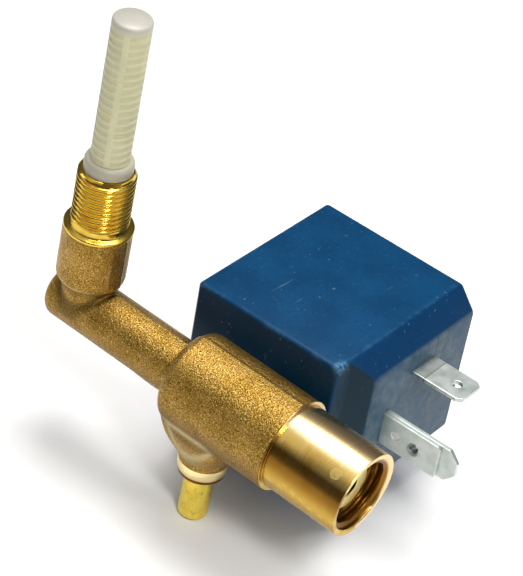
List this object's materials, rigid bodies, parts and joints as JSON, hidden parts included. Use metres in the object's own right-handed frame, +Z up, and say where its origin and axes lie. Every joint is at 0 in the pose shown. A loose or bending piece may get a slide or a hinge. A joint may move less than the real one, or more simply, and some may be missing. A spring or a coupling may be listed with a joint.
{
  "type": "solenoid valve",
  "caption": "Small brass solenoid valve with a threaded strainer inlet, a female outlet port, a plain outlet spigot and an encapsulated coil with push-on tabs.",
  "frame": {"origin": "centre of the inlet nipple's shoulder, where the nipple's thread seats", "axes": "+Z up the inlet nipple and strainer, +X along the body to the female port, +Y along the coil and its guide tube, away from the body"},
  "size_m": [0.0693, 0.0593, 0.0829],
  "materials": {
    "forged_brass": "sand-blasted forging with turned ends",
    "turned_brass": "turned, lightly stained",
    "nylon": "translucent natural nylon",
    "nylon_mesh": "fine woven nylon",
    "stainless": "turned stainless",
    "magnetic_steel": "ground magnetic stainless",
    "seal_rubber": "moulded",
    "copper": "bare copper",
    "blue_moulding": "moulded, lightly scuffed",
    "bobbin_nylon": "glass-filled nylon",
    "enamelled_wire": "enamelled copper",
    "yoke_steel": "pressed mild steel",
    "tinned_brass": "dull tin plate",
    "zinc_steel": "zinc plated",
    "spring_steel": "oiled spring steel"
  },
  "bodies": {
    "housing": {"valve_body": "forged_brass", "inlet_strainer_frame": "nylon", "inlet_strainer_mesh": "nylon_mesh", "outlet_spigot": "turned_brass", "port_insert": "turned_brass", "staking_pin": "turned_brass", "tube_base": "stainless", "base_seal": "seal_rubber", "guide_tube": "stainless", "fixed_core": "magnetic_steel", "shading_ring": "copper", "return_spring": "stainless", "flat_washer": "zinc_steel", "spring_washer": "spring_steel", "coil_nut": "zinc_steel"},
    "armature": {"plunger": "magnetic_steel", "plunger_seal": "seal_rubber"},
    "coil": {"coil_casing": "blue_moulding", "bobbin": "bobbin_nylon", "coil_winding": "enamelled_wire", "yoke_frame": "yoke_steel", "yoke_plate": "yoke_steel", "front_flux_sleeve": "yoke_steel", "rear_flux_sleeve": "yoke_steel", "upper_tab": "tinned_brass", "lower_tab": "tinned_brass", "upper_lead": "enamelled_wire", "lower_lead": "enamelled_wire"}
  },
  "joints": [
    {"name": "plunger_lift", "type": "slide", "parent": "housing", "child": "armature", "axis": [0, 1, 0], "range_m": [0, 0.0015], "stiffness_N_per_m": 300, "springref_m": -0.008, "deforming": ["return_spring"]},
    {"name": "coil_swivel", "type": "hinge", "parent": "housing", "child": "coil", "pos_m": [0.0291, 0.0261, -0.0212], "axis": [0, 1, 0], "continuous": true}
  ]
}
